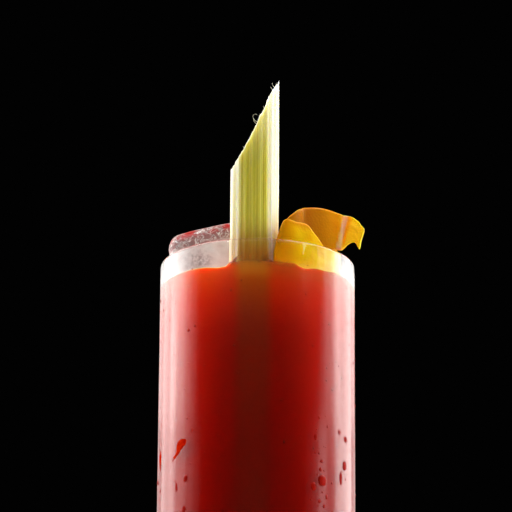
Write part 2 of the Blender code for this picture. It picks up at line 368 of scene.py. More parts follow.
class Finish:
    """One material: its nodes are made by node(), and it starts from the piece's own place."""

    def __init__(self, name):
        self.material = bpy.data.materials.new(name)
        self.material.use_nodes = True
        self.tree = self.material.node_tree
        self.tree.nodes.clear()
        self.place = self.node("ShaderNodeTexCoord", output="Object")
        self.x = self.node("ShaderNodeSeparateXYZ", sockets={0: self.place}, output="X")
        self.y = Wire(self, self.x.socket.node.outputs["Y"])
        self.z = Wire(self, self.x.socket.node.outputs["Z"])

    def node(self, kind, settings=None, sockets=None, output=0):
        made = self.tree.nodes.new(kind)
        for name, value in (settings or {}).items():
            if name == "stops":
                self.set_stops(made.color_ramp.elements, value)
            else:
                setattr(made, name, value)
        for name, value in (sockets or {}).items():
            socket = made.inputs[name]
            if isinstance(value, Wire):
                self.tree.links.new(value.socket, socket)
            elif socket.type == "RGBA":
                socket.default_value = (*value, 1.0)
            else:
                socket.default_value = value
        return Wire(self, made.outputs[output])

    def set_stops(self, elements, stops):
        while len(elements) < len(stops):
            elements.new(0.5)
        for element, (position, colour) in zip(elements, stops):
            element.position = position
            element.color = (*colour, 1.0)

    def ramp(self, value, *stops):
        return self.node("ShaderNodeValToRGB", {"stops": stops}, {"Fac": value})

    def mix(self, share, first, second):
        return self.node("ShaderNodeMix", {"data_type": "RGBA"}, {0: share, 6: first, 7: second}, output=2)

    def stretched(self, scale):
        return self.node("ShaderNodeMapping", sockets={"Vector": self.place, "Scale": scale})

    def noise(self, scale, detail=3.0, roughness=0.55, at=None, distortion=0.0):
        sockets = {"Vector": at or self.place, "Scale": scale, "Detail": detail, "Roughness": roughness,
                   "Distortion": distortion}
        return self.node("ShaderNodeTexNoise", sockets=sockets)

    def cells(self, scale):
        return self.node("ShaderNodeTexVoronoi", sockets={"Vector": self.place, "Scale": scale})

    def attribute(self, name):
        return self.node("ShaderNodeAttribute", {"attribute_name": name}, output="Fac")

    def bump(self, height, distance, strength):
        sockets = {"Height": height, "Distance": distance, "Strength": strength}
        return self.node("ShaderNodeBump", sockets=sockets)

    def shader(self, **sockets):
        named = {name.replace("_", " "): value for name, value in sockets.items()}
        return self.node("ShaderNodeBsdfPrincipled", sockets=named)

    def blend(self, share, first, second):
        return self.node("ShaderNodeMixShader", sockets={0: share, 1: first, 2: second})

    def from_axis(self):
        return (self.x * self.x + self.y * self.y) ** 0.5

    def lets_lamps_through(self, shader):
        shadow = self.node("ShaderNodeLightPath", output="Is Shadow Ray")
        return self.blend(shadow, shader, self.node("ShaderNodeBsdfTransparent"))

    def done(self, shader):
        end = self.tree.nodes.new("ShaderNodeOutputMaterial")
        self.tree.links.new(shader.socket, end.inputs["Surface"])
        return self.material


def clear_glass():
    """Clear in front of the garnish; elsewhere dulled outside by mist, whose fine drops whiten its sides,
    most near the top as painted light.
    """
    finish = Finish("Clear glass")
    patches = finish.noise(60.0, 3.0, 0.6)
    grain = finish.noise(2400.0, 2.0, 0.7).rise(0.46, 0.62)
    beside = (abs(finish.x) + 0.004 * (patches - 0.5)).rise(0.0185, 0.0245)
    below = finish.z.rise(0.1515, 0.1470).most(beside * finish.z.rise(0.1558, 0.1500))
    lip = finish.z.rise(0.1546, 0.1556)
    mist = below * (0.14 + 0.06 * patches + 0.04 * grain * beside)
    shader = finish.shader(
        Base_Color=(1.0, 1.0, 1.0),
        Roughness=mist.most(0.16 * lip),
        IOR=1.5,
        Transmission_Weight=1.0,
        Normal=finish.bump(grain * below * beside, 0.00001, 0.1),
    )
    drops = finish.shader(Base_Color=(0.95, 0.93, 0.92), Roughness=0.6, Specular_IOR_Level=0.0)
    outside = (finish.from_axis() - GLASS_TAPER * finish.z).rise(0.0297, 0.0303)
    sides = (abs(finish.x) + 0.002 * (patches - 0.5)).rise(0.0200, 0.0320)
    # Painted light: the white drops are thicker near the top, where more light falls.
    white = 0.06 + 0.12 * grain + 0.2 * finish.z.rise(0.134, 0.147)
    share = below * sides * outside * white
    return finish.done(finish.blend(share, finish.lets_lamps_through(shader), drops))


def tomato_drink_finish():
    """Thick juice: orange-red near its surface and deeper below, partly its own colour and partly painted
    light that falls off with depth; a painted dark core and the celery's painted shadow in front; thin where
    it meets the wall and the celery.
    """
    finish = Finish("Tomato drink")
    clouds = finish.noise(45.0, 4.0, 0.6, at=finish.stretched((1.0, 1.0, 0.35)))
    pulp = finish.noise(700.0, 3.0, 0.6)
    below = DRINK_LEVEL - finish.z
    deep = below + 0.006 * (clouds - 0.5)
    # Partly painted light: brighter orange near the surface and darker lower down, for light that falls off
    # with depth.
    colour = finish.ramp(
        deep / 0.1,
        (0.0, (0.54, 0.092, 0.009)),
        (0.06, (0.64, 0.042, 0.003)),
        (0.12, (0.60, 0.020, 0.002)),
        (0.22, (0.48, 0.009, 0.001)),
        (0.50, (0.42, 0.004, 0.0006)),
        (0.9, (0.38, 0.003, 0.0005)),
    )
    colour = finish.mix(0.15 * pulp.rise(0.45, 0.75), colour, (0.50, 0.03, 0.003))
    front = finish.y.rise(-0.010, -0.024)
    across = abs(finish.x - CELERY_SEEN_X)
    # Painted: the celery seen through the juice near the wall, turning lower down into its painted shadow.
    painted_celery_and_shadow = finish.ramp(
        deep / 0.06,
        (0.0, (0.62, 0.24, 0.012)),
        (0.1, (0.42, 0.09, 0.006)),
        (0.3, (0.32, 0.042, 0.012)),
        (0.9, (0.32, 0.018, 0.006)),
    )
    colour = finish.mix(0.85 * across.rise(0.0070, 0.0028) * front, colour, painted_celery_and_shadow)
    # Painted shade: a dark core down the front behind the celery.
    painted_core_shade = across.rise(0.022, 0.004) * below.rise(0.000, 0.030) * front
    colour = finish.mix(0.6 * painted_core_shade, colour, (0.16, 0.003, 0.0008))
    beside_wall = finish.from_axis().rise(0.0284, 0.0296)
    colour = finish.mix(below.rise(0.0016, 0.0012) * (1 - beside_wall), colour, (0.46, 0.030, 0.004))
    over_celery = finish.x.rise(-0.0082, -0.0046) * finish.x.rise(0.0064, 0.0036) * front
    film = over_celery * (1 - below.rise(-0.0045, 0.0034))
    edge = beside_wall * (1 - below.rise(-0.0016, 0.0012))
    on_top = finish.from_axis().rise(0.0299, 0.0295) * finish.z.rise(0.1451, 0.1455)
    shader = finish.shader(
        Base_Color=colour,
        Roughness=0.25,
        IOR=1.35,
        Specular_IOR_Level=0.0,
        Alpha=1 - film.most(edge),
        Coat_Weight=on_top,
        Subsurface_Weight=1.0,
        Subsurface_Radius=(1.0, 0.16, 0.06),
        Subsurface_Scale=0.009,
        Normal=finish.bump(pulp, 0.0001, 0.4),
    )
    return finish.done(shader)


def celery_finish():
    """Pale stringy stalk: greener in the middle of its back, cream at its edges and where it was cut."""
    finish = Finish("Celery")
    across = finish.attribute("across")
    cut = finish.attribute("cut")
    hollow = finish.attribute("hollow")
    lengthwise = finish.node(
        "ShaderNodeCombineXYZ", sockets={"X": across, "Y": hollow * 0.2, "Z": finish.z * 0.35}
    )
    strings = finish.noise(38.0, 3.0, 0.6, at=lengthwise)
    veins = finish.noise(13.0, 2.0, 0.5, at=lengthwise)
    mottle = finish.noise(120.0, 3.0, 0.6)
    green = finish.mix(strings.rise(0.35, 0.7), (0.60, 0.55, 0.048), (0.77, 0.73, 0.14))
    green = finish.mix(0.6 * veins.rise(0.5, 0.7), green, (0.86, 0.81, 0.26))
    pale = across.rise(0.60, 0.71).most(across.rise(0.23, 0.12))
    colour = finish.mix(pale * (0.5 + 0.5 * strings.rise(0.35, 0.6)), green, (0.96, 0.94, 0.84))
    colour = finish.mix(0.75 * hollow, colour, (0.82, 0.79, 0.46))
    colour = finish.mix(0.7 * finish.z.rise(0.180, 0.209), colour, (0.95, 0.93, 0.72))
    wet = finish.z.rise(0.1650, 0.1490) * (0.9 + 0.1 * mottle) * (1 - 0.6 * pale)
    colour = finish.mix(0.95 * wet, colour, (0.46, 0.14, 0.008))
    colour = finish.mix(cut, colour, (0.95, 0.93, 0.78))
    height = 0.6 * strings + 0.4 * veins + 0.15 * mottle
    shader = finish.shader(
        Base_Color=colour,
        Roughness=0.38 + 0.2 * strings,
        IOR=1.42,
        Specular_IOR_Level=0.15,
        Subsurface_Weight=1.0,
        Subsurface_Radius=(1.0, 0.9, 0.5),
        Subsurface_Scale=0.004,
        Normal=finish.bump(height, 0.0003, 0.7),
    )
    return finish.done(shader)


def ice_finish():
    """Ice with a cloudy heart, a crinkled wet skin with painted highlights along the crinkles, and tomato on
    its upper edges.
    """
    finish = Finish("Ice")
    crinkles = finish.noise(230.0, 4.0, 0.6, distortion=1.5)
    cloud = finish.noise(110.0, 4.0, 0.6)
    speckle = finish.noise(900.0, 3.0, 0.7)
    tipped = finish.z - 0.16 * finish.x
    upper = tipped.rise(0.1638, 0.1655)
    # Painted highlights: white lines along the crinkles on the upper part.
    veins = abs(crinkles - 0.5).rise(0.030, 0.006) * upper
    sunk = finish.z.rise(0.1585, 0.1540) * finish.x.rise(-0.0130, -0.0180)
    shade = (0.55 * upper).most(0.7 * sunk) * speckle.rise(0.40, 0.62)
    film = finish.noise(240.0, 3.0, 0.6, distortion=0.8).rise(0.43, 0.54)
    tomato = film * tipped.rise(0.1668, 0.1690)
    white = finish.mix(cloud.rise(0.35, 0.65), (0.88, 0.82, 0.81), (0.95, 0.92, 0.91))
    white = finish.mix(0.9 * upper, white, (0.38, 0.12, 0.11))
    white = finish.mix(shade, white, (0.22, 0.17, 0.17))
    white = finish.mix(veins, white, (0.95, 0.93, 0.92))
    colour = finish.mix(tomato, white, (0.44, 0.015, 0.010))
    solid = finish.shader(
        Base_Color=colour,
        Roughness=0.35,
        IOR=1.31,
        Subsurface_Weight=1.0,
        Subsurface_Radius=(1.0, 0.85, 0.85),
        Subsurface_Scale=0.0015,
        Normal=finish.bump(crinkles, 0.0006, 0.5),
    )
    clear = finish.shader(
        Base_Color=(1.0, 0.97, 0.97),
        Roughness=0.12,
        IOR=1.31,
        Transmission_Weight=1.0,
        Normal=finish.bump(crinkles, 0.0010, 0.6),
    )
    share = (0.86 + 0.14 * cloud.rise(0.35, 0.65)).most(tomato)
    return finish.done(finish.blend(share, finish.lets_lamps_through(clear), solid))


def peel_finish():
    """Lemon rind: pored bright zest outside with painted shade round its fold, the inside painted orange for
    light glowing through the rind with painted shade in the hood, pale where its pith was cut.
    """
    finish = Finish("Lemon peel")
    inside = finish.attribute("inside")
    cut = finish.attribute("cut")
    pores = finish.cells(1150.0)
    blotches = finish.noise(160.0, 3.0, 0.6)
    soft = finish.noise(45.0, 2.0, 0.5)
    zest = finish.mix(blotches.rise(0.3, 0.7), (1.0, 0.54, 0.002), (1.0, 0.64, 0.003))
    # Painted shade: the zest turns darker orange round the fold at the left and everywhere above the front
    # leaf.
    fold = finish.x.rise(0.0150, 0.0080).most(finish.z.rise(0.1600, 0.1632))
    zest = finish.mix(0.8 * fold, zest, (0.76, 0.28, 0.002))
    across = finish.x + 0.004 * (soft - 0.5)
    # Painted light: the inside, which is pale pith, is painted the orange of light glowing through the rind,
    # darkest in the middle of the hood where it lies in shade and brighter towards the flap.
    lining_glow_and_shade = finish.ramp(
        across.rise(0.004, 0.030),
        (0.0, (0.54, 0.25, 0.002)),
        (0.45, (0.50, 0.15, 0.001)),
        (0.7, (0.60, 0.22, 0.002)),
        (1.0, (0.92, 0.42, 0.006)),
    )
    flap = (finish.x - 0.30 * (finish.z - 0.158)).rise(0.0270, 0.0285)
    lining_glow_and_shade = finish.mix(flap, lining_glow_and_shade, (0.95, 0.70, 0.020))
    colour = finish.mix(inside, zest, lining_glow_and_shade)
    colour = finish.mix(cut, colour, (0.90, 0.62, 0.32))
    shader = finish.shader(
        Base_Color=colour,
        Roughness=0.34,
        IOR=1.45,
        Specular_IOR_Level=0.03,
        Subsurface_Weight=1.0,
        Subsurface_Radius=(1.0, 0.55, 0.02),
        Subsurface_Scale=0.0015,
        Normal=finish.bump(pores, 0.00008, 0.4),
    )
    return finish.done(shader)


def bead_finish():
    """Drops of condensation: mostly clear, with the red of the drink in them."""
    finish = Finish("Water beads")
    clear = finish.shader(Base_Color=(1.0, 0.93, 0.92), Roughness=0.02, IOR=1.33, Transmission_Weight=1.0)
    tint = finish.mix(finish.noise(500.0), (0.34, 0.004, 0.001), (0.50, 0.010, 0.003))
    body = finish.shader(Base_Color=tint, Roughness=0.3, IOR=1.33, Specular_IOR_Level=0.05)
    return finish.done(finish.blend(0.85, finish.lets_lamps_through(clear), body))


def smear_finish():
    """Juice run down the outside of the glass."""
    finish = Finish("Tomato smear")
    thin = finish.noise(900.0, 3.0, 0.6)
    colour = finish.mix(thin.rise(0.35, 0.65), (0.40, 0.004, 0.0005), (0.62, 0.020, 0.002))
    return finish.done(finish.shader(Base_Color=colour, Roughness=0.5, Specular_IOR_Level=0.0))


def pepper_finish():
    finish = Finish("Ground pepper")
    colour = finish.mix(finish.noise(1800.0), (0.020, 0.006, 0.003), (0.10, 0.015, 0.004))
    return finish.done(finish.shader(Base_Color=colour, Roughness=0.6, Specular_IOR_Level=0.2))


def thread_finish(name, first, second):
    finish = Finish(name)
    colour = finish.mix(finish.noise(400.0), first, second)
    return finish.done(finish.shader(Base_Color=colour, Roughness=0.4))


def start_fresh():
    """Object mode, with nothing selected."""
    if bpy.context.object and bpy.context.object.mode == "EDIT":
        bpy.ops.object.mode_set(mode="OBJECT")
    bpy.ops.object.select_all(action="DESELECT")


def select_faces(piece, test):
    """Edit mode, with only the faces selected that pass the test."""
    select_parts(piece, (False, False, True), "polygons", test)


def select_rings(piece, test):
    """Edit mode, with only the level edges round the axis selected whose height passes the test."""
    corners = piece.data.vertices

    def wanted(edge):
        first, second = (corners[i].co for i in edge.vertices)
        level = abs(first.z - second.z) < WELD
        return level and abs(first.xy.length - second.xy.length) < WELD and test(first.z)

    select_parts(piece, (False, True, False), "edges", wanted)


def select_parts(piece, mode, kind, test):
    bpy.context.view_layer.objects.active = piece
    bpy.ops.object.mode_set(mode="EDIT")
    bpy.context.tool_settings.mesh_select_mode = mode
    bpy.ops.mesh.select_all(action="DESELECT")
    bpy.ops.object.mode_set(mode="OBJECT")
    for part in getattr(piece.data, kind):
        part.select = test(part)
    bpy.ops.object.mode_set(mode="EDIT")


def close_up(piece, smooth=60):
    """Doubles merged, normals outward, and shading smooth up to that many degrees."""
    start_fresh()
    bpy.context.view_layer.objects.active = piece
    bpy.ops.object.mode_set(mode="EDIT")
    bpy.ops.mesh.select_all(action="SELECT")
    bpy.ops.mesh.remove_doubles(threshold=WELD)
    bpy.ops.mesh.normals_make_consistent(inside=False)
    bpy.ops.object.mode_set(mode="OBJECT")
    bpy.ops.object.select_all(action="DESELECT")
    piece.select_set(True)
    bpy.ops.object.shade_smooth_by_angle(angle=math.radians(smooth))


def name_piece(name, finish):
    """Names the object just added, moves its place into its mesh and gives it its finish."""
    piece = bpy.context.object
    piece.name = name
    bpy.ops.object.transform_apply(location=True, rotation=True, scale=True)
    if finish:
        piece.data.materials.append(finish)
    return piece


def round_bar(name, finish, radius, bottom, top, sides, ends="NGON"):
    start_fresh()
    middle = (0, 0, (top + bottom) / 2)
    bpy.ops.mesh.primitive_cylinder_add(
        vertices=sides, radius=radius, depth=top - bottom, end_fill_type=ends, location=middle
    )
    return name_piece(name, finish)


def unit_tube(name, finish, sides, bands):
    """An open tube, one metre tall, of quads in even bands."""
    tube = round_bar(name, finish, 1.0, 0.0, 1.0, sides, "NOTHING")
    corners = tube.data.vertices
    select_parts(
        tube,
        (False, True, False),
        "edges",
        lambda edge: abs(corners[edge.vertices[0]].co.z - corners[edge.vertices[1]].co.z) > 0.5,
    )
    bpy.ops.mesh.subdivide(number_cuts=bands - 1)
    bpy.ops.object.mode_set(mode="OBJECT")
    return tube


def shape_tube(tube, sides, bands, place, marks=()):
    """Moves each corner of a unit tube to place(side, band), which also gives the values of its marks."""
    values = {mark: np.zeros(len(tube.data.vertices)) for mark in marks}
    for vertex in tube.data.vertices:
        side = round(math.atan2(vertex.co.y, vertex.co.x) / FULL_TURN * sides) % sides
        band = round(vertex.co.z * bands)
        point, marked = place(side, band)
        vertex.co = point
        for mark, value in zip(marks, marked):
            values[mark][vertex.index] = value
    for mark in marks:
        tube.data.attributes.new(mark, "FLOAT", "POINT").data.foreach_set("value", values[mark])


def flat_loop(face_steps, edge_steps):
    """Once round a flat strip's section: how far along its face, through its thickness and past its edge."""
    loop = [(step / face_steps, 0.0, 0.0) for step in range(face_steps)]
    for step in range(edge_steps):
        turn = math.pi * step / edge_steps
        loop.append((1.0, 0.5 - 0.5 * math.cos(turn), math.sin(turn)))
    loop += [(1 - step / face_steps, 1.0, 0.0) for step in range(face_steps)]
    for step in range(edge_steps):
        turn = math.pi * step / edge_steps
        loop.append((0.0, 0.5 + 0.5 * math.cos(turn), -math.sin(turn)))
    return loop


def clamp(value):
    return min(1.0, max(0.0, value))


def eased(value):
    value = clamp(value)
    return value * value * (3 - 2 * value)


def outer_radius(height):
    return BASE_RADIUS + GLASS_TAPER * height


def inner_radius(height):
    return outer_radius(height) - WALL


def direction(azimuth, elevation=0.0):
    """The way out from the axis: azimuth is in degrees from the viewer's side towards +X."""
    turn = math.radians(azimuth)
    lift = math.radians(elevation)
    return Vector((math.cos(lift) * math.sin(turn), -math.cos(lift) * math.cos(turn), math.sin(lift)))


def resize_flat(scale, height):
    bpy.ops.transform.resize(value=(scale, scale, 1.0), center_override=(0.0, 0.0, height))


def dress(piece, slot, *nodes):
    """The piece rides on the body and stands for those solids; slot is not used."""
    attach(piece, BODY)
    if nodes:
        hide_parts(*nodes)


def make_tumbler():
    glass = round_bar("glass_tumbler", clear_glass(), BASE_RADIUS, 0.0, GLASS_HEIGHT, GLASS_SIDES)
    select_faces(glass, lambda face: face.normal.z > 0.9)
    resize_flat(RIM_RADIUS / BASE_RADIUS, GLASS_HEIGHT)
    bpy.ops.mesh.inset(thickness=WALL)
    bpy.ops.mesh.extrude_region_move(TRANSFORM_OT_translate={"value": (0.0, 0.0, FLOOR_LEVEL - GLASS_HEIGHT)})
    resize_flat(inner_radius(FLOOR_LEVEL) / (RIM_RADIUS - WALL), FLOOR_LEVEL)
    select_rings(glass, lambda height: height > GLASS_HEIGHT - WELD)
    bpy.ops.mesh.bevel(offset=LIP_ROUND, segments=LIP_STEPS, affect="EDGES")
    select_rings(glass, lambda height: abs(height - FLOOR_LEVEL) < WELD)
    bpy.ops.mesh.bevel(offset=FLOOR_ROUND, segments=FOOT_STEPS, affect="EDGES")
    select_rings(glass, lambda height: height < WELD)
    bpy.ops.mesh.bevel(offset=FOOT_ROUND, segments=FOOT_STEPS, affect="EDGES")
    select_faces(glass, lambda face: face.normal.z < -0.999)
    bpy.ops.mesh.inset(thickness=PUNT_MARGIN)
    bpy.ops.mesh.inset(thickness=PUNT_MARGIN)
    bpy.ops.transform.translate(value=(0.0, 0.0, PUNT_DEPTH))
    close_up(glass, 40)
    dress(glass, "glass", "glass")


def climb(place):
    """How far the drink's surface stands above its level at a place."""
    from_wall = inner_radius(DRINK_LEVEL) + INTO_WALL - math.hypot(place.x, place.y)
    spans, heights = zip(*CLIMB)
    front = np.interp(place.x, np.array(spans) * MILLIMETRE, np.array(heights) * MILLIMETRE)
    near = eased((CLIMB_GONE - from_wall) / (CLIMB_GONE - CLIMB_FULL)) * float(place.y < 0)
    ripple = 0.00012 * noise.noise(place * 160)
    return MENISCUS * (math.exp(-from_wall / MENISCUS_FADE) - 1) + front * near + ripple


def make_drink():
    radius = inner_radius(FLOOR_LEVEL) + INTO_WALL
    top_radius = inner_radius(DRINK_LEVEL) + INTO_WALL
    bottom = FLOOR_LEVEL - INTO_WALL
    drink = round_bar("tomato_drink", tomato_drink_finish(), radius, bottom, DRINK_LEVEL, GLASS_SIDES)
    select_faces(drink, lambda face: face.normal.z > 0.9)
    resize_flat(top_radius / radius, DRINK_LEVEL)
    for width in SURFACE_RINGS:
        bpy.ops.mesh.inset(thickness=width)
    bpy.ops.mesh.poke()
    select_rings(drink, lambda height: height < FLOOR_LEVEL)
    bpy.ops.mesh.bevel(offset=FLOOR_ROUND, segments=FOOT_STEPS, affect="EDGES")
    bpy.ops.object.mode_set(mode="OBJECT")
    for vertex in drink.data.vertices:
        if vertex.co.z > DRINK_LEVEL - WELD:
            vertex.co.z += climb(vertex.co)
    close_up(drink)
    dress(drink, "tomato_drink", "drink")


def celery_point(across, depth, past, height):
    """A point of the stick: across runs 0 to 1 over its arc, and depth from its ribbed back to its hollow."""
    angle = (2 * across - 1) * CELERY_HALF_ANGLE
    rib = 0.5 - 0.5 * math.cos(FULL_TURN * CELERY_RIBS * across)
    fine = 0.5 - 0.5 * math.cos(FULL_TURN * 3 * CELERY_RIBS * across)
    middle = 1 - abs(2 * across - 1) ** CELERY_FULLNESS
    thickness = CELERY_EDGE_THICKNESS + (CELERY_THICKNESS - CELERY_EDGE_THICKNESS) * middle
    outer = CELERY_RADIUS - CELERY_RIB_DEPTH * ((1 - rib) * (1 - depth) + 0.3 * (1 - fine))
    outer += CELERY_WAVER * noise.noise(Vector((across * 14, height * 30, 4.0)))
    radius = outer + (CELERY_RADIUS - thickness - outer) * depth
    angle += past * CELERY_EDGE_THICKNESS / 2 / CELERY_RADIUS
    widening = 1 + (CELERY_WIDENING - 1) * max((GLASS_HEIGHT - height) / GLASS_HEIGHT, 0.0)
    turn = angle + CELERY_YAW
    nearest = CELERY_NEAREST_Y + math.tan(CELERY_LEAN) * (GLASS_HEIGHT - height)
    x = CELERY_MIDDLE_X + widening * radius * math.sin(turn)
    y = nearest + widening * (CELERY_RADIUS - radius * math.cos(turn))
    return Vector((x, y, height))


def celery_top(across, depth):
    """Where the slanting cut ends the stick, frayed a little by the knife."""
    x = celery_point(across, depth, 0.0, GLASS_HEIGHT).x
    places, heights = zip(*CELERY_CUT)
    fray = noise.noise(Vector((x * 1600, depth * 3, 0.0)))
    fray += 0.6 * noise.noise(Vector((x * 4200, depth * 5, 7.0)))
    return float(np.interp(x, places, heights)) + CELERY_FRAY * fray


def make_celery():
    loop = flat_loop(CELERY_FACE_STEPS, CELERY_EDGE_STEPS)
    bands = CELERY_ROWS + 2 * CELERY_CAP_ROWS
    stick = unit_tube("celery_stalk", celery_finish(), len(loop), bands)
    foot = FLOOR_LEVEL + CELERY_FOOT_GAP

    def place(side, band):
        across, depth, past = loop[side]
        row = min(max(band - CELERY_CAP_ROWS, 0), CELERY_ROWS)
        into = max(CELERY_CAP_ROWS - band, band - CELERY_CAP_ROWS - CELERY_ROWS, 0) / CELERY_CAP_ROWS
        depth_here = depth + (0.5 - depth) * into
        top = celery_top(across, depth_here)
        height = top - (top - foot) * (1 - row / CELERY_ROWS) ** CELERY_ROWS_CROWD
        point = celery_point(across, depth_here, past * (1 - into), height)
        cut = clamp(1 - (top - height) / CELERY_CUT_PALE)
        return point, (across, depth_here, cut)

    shape_tube(stick, len(loop), bands, place, ("across", "hollow", "cut"))
    close_up(stick)
    dress(stick, "celery", "celery_stick")


def make_ice():
    start_fresh()
    bpy.ops.mesh.primitive_cube_add(size=1.0, scale=ICE_SIZE)
    ice = name_piece("ice_block", ice_finish())
    bpy.ops.object.mode_set(mode="EDIT")
    bpy.context.tool_settings.mesh_select_mode = (False, True, False)
    bpy.ops.mesh.select_all(action="SELECT")
    bpy.ops.mesh.bevel(offset=ICE_EDGE_ROUND, segments=ICE_EDGE_STEPS, affect="EDGES")
    bpy.ops.mesh.select_all(action="SELECT")
    bpy.ops.mesh.subdivide(number_cuts=ICE_CUTS)
    bpy.ops.mesh.quads_convert_to_tris()
    bpy.ops.mesh.tris_convert_to_quads()
    bpy.ops.object.mode_set(mode="OBJECT")
    for vertex in ice.data.vertices:
        outward = vertex.co.normalized()
        wave = 0.0003 * noise.noise(vertex.co * 90) + 0.00022 * noise.noise(vertex.co * 330)
        vertex.co += outward * wave
    ice.data.transform(
        Matrix.Translation(ICE_MIDDLE) @ Matrix.Rotation(ICE_YAW, 4, "Z") @ Matrix.Rotation(ICE_TIP, 4, "Y")
    )
    close_up(ice)
    dress(ice, "ice", "ice_cube")
    make_ice_ridges(ice)


def through(stations, position):
    """A smooth curve through the stations, at a position counted in stations."""
    last = len(stations) - 1
    start = min(int(position), last - 1)
    t = position - start
    before = stations[max(start - 1, 0)]
    here = stations[start]
    there = stations[start + 1]
    after = stations[min(start + 2, last)]
    turn = (there - before) * 0.5
    turn_after = (after - here) * 0.5
    return (
        here * (2 * t ** 3 - 3 * t ** 2 + 1)
        + turn * (t ** 3 - 2 * t ** 2 + t)
        + there * (3 * t ** 2 - 2 * t ** 3)
        + turn_after * (t ** 3 - t ** 2)
    )


def make_peel():
    stations = np.array(PEEL_STATIONS) * MILLIMETRE
    positions = np.linspace(0, len(stations) - 1, PEEL_LENGTH_STEPS + 1)
    line = np.array([through(stations, position) for position in positions])
    along = np.gradient(line[:, :2], axis=0)
    along /= np.linalg.norm(along, axis=1)[:, None]
    loop = flat_loop(PEEL_FACE_STEPS, PEEL_EDGE_STEPS)
    bands = PEEL_LENGTH_STEPS + 2 * PEEL_CAP_ROWS
    peel = unit_tube("lemon_curl", peel_finish(), len(loop), bands)

    def place(side, band):
        up, depth, past = loop[side]
        step = min(max(band - PEEL_CAP_ROWS, 0), PEEL_LENGTH_STEPS)
        into = max(PEEL_CAP_ROWS - band, band - PEEL_CAP_ROWS - PEEL_LENGTH_STEPS, 0) / PEEL_CAP_ROWS
        x, y, bottom, top, thickness = line[step]
        inward = Vector((along[step][1], -along[step][0], 0.0))
        depth_here = depth + (0.5 - depth) * into
        past_here = past * (1 - into)
        margin = 0.5 * thickness
        height = bottom + margin + (top - bottom - 2 * margin) * up + past_here * margin
        fold = clamp(1 - (x - PEEL_FOLD_X) / PEEL_FOLD_FADE)
        rise = max(0.0, height - PEEL_FOLD_FROM_Z)
        slant = fold * (PEEL_FOLD_SLANT * rise + PEEL_FOLD_CURVE * rise ** 2)
        waver = PEEL_WAVER * noise.noise(Vector((step * 0.04, up * 4, depth * 6)))
        point = Vector((x + slant, y, height)) + inward * (thickness * depth_here + waver)
        pith_x = PEEL_PITH_X + PEEL_PITH_SLANT * (height - PEEL_PITH_FROM_Z)
        on_flap = depth > 0.5 and step > PEEL_LENGTH_STEPS / 2
        pith = clamp(2 - abs(x - pith_x) / PEEL_PITH_HALF) * float(on_flap)
        return point, (depth_here, max(abs(past) * 0.15, into * 0.4, pith))

    shape_tube(peel, len(loop), bands, place, ("inside", "cut"))
    close_up(peel)
    dress(peel, "lemon_peel", "lemon_peel")


def on_wall(azimuth, height, width, tall, thick, turn=0.0, into=0.0):
    """Lays a small thing on the glass's outer wall: its own Z faces out, and into moves it inwards."""
    outward = direction(azimuth)
    side = Vector((-outward.y, outward.x, 0.0))
    facing = Matrix((side, (0.0, 0.0, 1.0), outward)).transposed().to_4x4()
    place = outward * (outer_radius(height) - into) + Vector((0.0, 0.0, height))
    size = Matrix.Diagonal((width, tall, thick, 1.0))
    return Matrix.Translation(place) @ facing @ Matrix.Rotation(turn, 4, "Z") @ size


def half_bead(sides, rings):
    """A drop of unit size, flat underneath, to be copied."""
    start_fresh()
    bpy.ops.mesh.primitive_uv_sphere_add(segments=sides, ring_count=rings, radius=1.0)
    bpy.ops.object.mode_set(mode="EDIT")
    bpy.ops.mesh.select_all(action="SELECT")
    bpy.ops.mesh.bisect(plane_co=(0, 0, -0.2), plane_no=(0, 0, 1), use_fill=True, clear_inner=True)
    bpy.ops.object.mode_set(mode="OBJECT")
    return bpy.context.object


def copies_of(pattern, places):
    """Copies of a pattern, one at each place; the pattern itself goes."""
    copies = []
    for place in places:
        twin = pattern.copy()
        twin.data = pattern.data.copy()
        twin.data.transform(place)
        bpy.context.scene.collection.objects.link(twin)
        copies.append(twin)
    bpy.data.objects.remove(pattern)
    return copies


def joined(name, finish, parts):
    start_fresh()
    for part in parts:
        part.select_set(True)
    bpy.context.view_layer.objects.active = parts[0]
    bpy.ops.object.join()
    return name_piece(name, finish)


def roughen(piece, depth, scale):
    for vertex in piece.data.vertices:
        vertex.co += depth * noise.noise_vector(vertex.co * scale)


def make_beads():
    chance = random.Random(BEAD_SEED)
    large = []
    for azimuth, *measures in LARGE_BEADS:
        height, wide, tall = (measure * MILLIMETRE for measure in measures)
        large.append(on_wall(azimuth, height, wide, tall, 0.32 * wide))
    small = []
    for _ in range(BEAD_COUNT):
        height = chance.uniform(*BEAD_HEIGHTS)
        radius = chance.uniform(*BEAD_RADII) * MILLIMETRE * (1 + 2.2 * chance.random() ** 8)
        tall = radius * chance.uniform(*BEAD_STRETCH)
        turn = chance.uniform(-0.5, 0.5)
        azimuth = chance.uniform(-180, 180)
        if abs(azimuth) > BEADS_KEEP_FROM_FRONT:
            small.append(on_wall(azimuth, height, radius, tall, 0.35 * radius, turn))
    parts = copies_of(half_bead(16, 10), large) + copies_of(half_bead(8, 6), small)
    beads = joined("water_beads", bead_finish(), parts)
    roughen(beads, BEAD_WAVER, 1500)
    close_up(beads)
    dress(beads, "glass")


